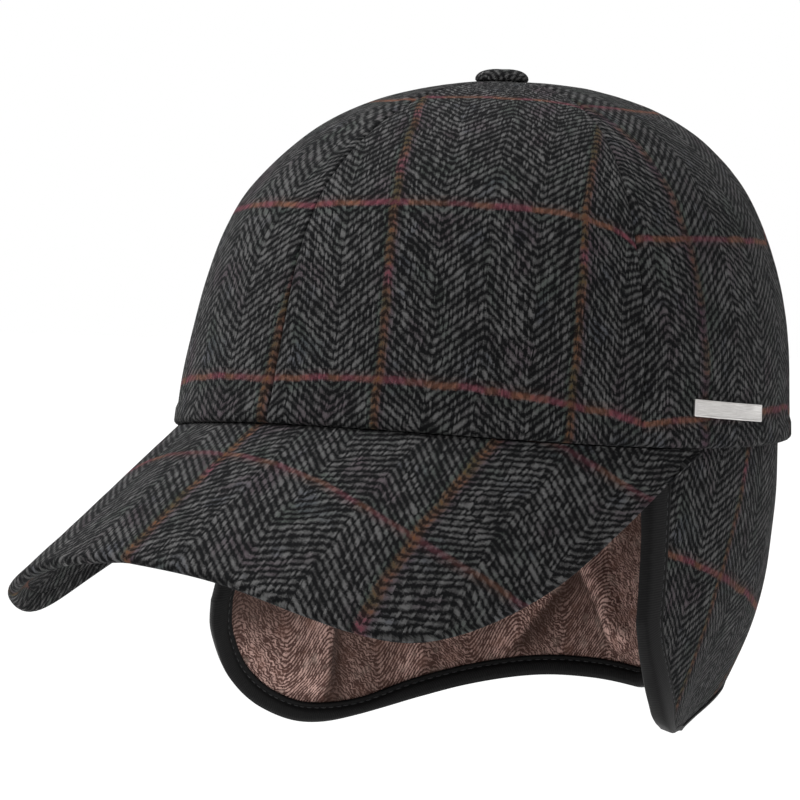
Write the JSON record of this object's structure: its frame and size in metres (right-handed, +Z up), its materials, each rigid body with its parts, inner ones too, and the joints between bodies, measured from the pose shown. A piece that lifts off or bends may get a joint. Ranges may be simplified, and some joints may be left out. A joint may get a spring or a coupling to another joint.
{
  "type": "earflap cap",
  "caption": "Six-panel tweed cap with a curved peak, a cloth-covered top button, a bare metal side plate and a lined, bound earflap band round sides and back.",
  "frame": {"origin": "middle of the head opening, at the height of the crown's lower edge", "axes": "+Z up to the top button, -Y to the front, where the peak is, +X to the wearer's left, where the badge is"},
  "size_m": [0.1815, 0.2668, 0.205],
  "materials": {
    "charcoal_tweed": "matte",
    "lining_cloth": "matte",
    "black_binding": "matte",
    "silver_metal": "satin"
  },
  "bodies": {
    "root": {"crown_front_left": "charcoal_tweed", "crown_side_left": "charcoal_tweed", "crown_back_left": "charcoal_tweed", "crown_front_right": "charcoal_tweed", "crown_side_right": "charcoal_tweed", "crown_back_right": "charcoal_tweed", "top_button": "charcoal_tweed", "peak_upper": "charcoal_tweed", "peak_lower": "charcoal_tweed", "flap_outer": "charcoal_tweed", "flap_lining": "lining_cloth", "flap_binding": "black_binding", "badge": "silver_metal"}
  },
  "joints": []
}
